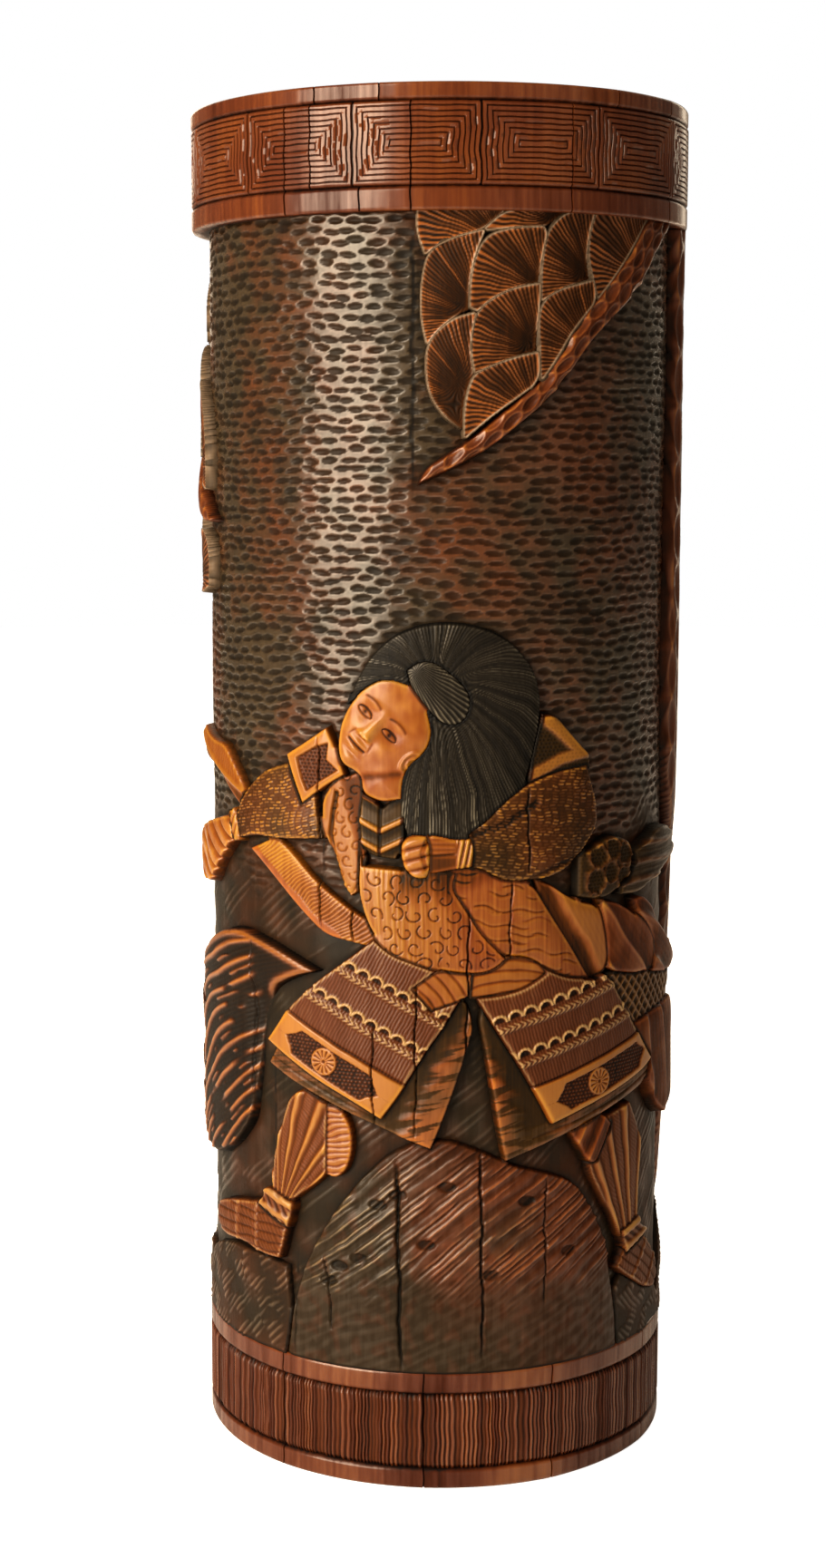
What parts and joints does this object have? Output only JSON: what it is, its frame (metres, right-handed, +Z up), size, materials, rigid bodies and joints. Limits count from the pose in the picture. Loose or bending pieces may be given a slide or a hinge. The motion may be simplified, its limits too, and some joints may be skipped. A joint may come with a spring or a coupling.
{
  "type": "brush pot",
  "caption": "Tall cylindrical brush pot of carved bamboo with a fretted upper collar, a reeded lower collar and an armoured figure in deep relief under a pine.",
  "frame": {"origin": "centre of the foot, on the surface the pot stands on", "axes": "+Z up along the culm's axis; the carved figure faces -Y; +X to the right of someone facing the figure"},
  "size_m": [0.125, 0.125, 0.336],
  "materials": {
    "culm_ground": "satin",
    "raw_bamboo": "satin",
    "collar_lacquer": "satin",
    "blackened_hair": "satin",
    "pale_flesh": "satin",
    "amber_cloth": "satin",
    "dark_mail": "satin",
    "laced_armour": "satin",
    "mottled_skirt": "satin",
    "striped_hide": "satin",
    "worn_rock": "satin",
    "pine_needles": "satin",
    "pine_bark": "satin"
  },
  "bodies": {
    "root": {"culm_wall": "culm_ground", "septum_floor": "raw_bamboo", "rim_ring": "collar_lacquer", "fret_band": "collar_lacquer", "upper_bead": "collar_lacquer", "lower_sill": "collar_lacquer", "reeded_band": "collar_lacquer", "foot_ring": "collar_lacquer", "side_lock": "blackened_hair", "head": "pale_flesh", "hair": "blackened_hair", "throat_guard": "dark_mail", "breastplate": "amber_cloth", "shoulder_guard_left": "laced_armour", "shoulder_guard_right": "laced_armour", "mail_sleeve_left": "dark_mail", "mail_sleeve_right": "dark_mail", "cuff_left": "amber_cloth", "hand_left": "pale_flesh", "blade": "amber_cloth", "wrist_guard": "amber_cloth", "fist_right": "pale_flesh", "scroll_lappet": "amber_cloth", "ribbed_flap": "amber_cloth", "waist_lobe": "amber_cloth", "amber_flap": "amber_cloth", "fur_knob": "dark_mail", "leaf_guard": "dark_mail", "rear_fold_inner": "amber_cloth", "rear_fold_outer": "amber_cloth", "hatched_belt": "dark_mail", "robe_tail": "amber_cloth", "waist_tie_left": "amber_cloth", "waist_tie_right": "amber_cloth", "tasset_left": "laced_armour", "tasset_right": "laced_armour", "skirt_left": "mottled_skirt", "skirt_right": "mottled_skirt", "shin_guard_left": "laced_armour", "calf_left": "amber_cloth", "ankle_tie_left": "laced_armour", "shoe_left": "laced_armour", "knee_cloth_right": "amber_cloth", "shin_guard_right": "laced_armour", "ankle_tie_right": "laced_armour", "shoe_right": "laced_armour", "haunch": "striped_hide", "beast_back": "striped_hide", "beast_tail": "striped_hide", "rock_mound": "worn_rock", "rock_left": "worn_rock", "rock_right": "worn_rock", "rock_back": "worn_rock", "pine_fans_front": "pine_needles", "pine_branch_front": "pine_bark", "pine_fans_left": "pine_needles", "pine_branch_left": "pine_bark", "pine_trunk": "pine_bark", "pine_bough": "pine_bark", "pine_fans_back": "pine_needles"}
  },
  "joints": []
}
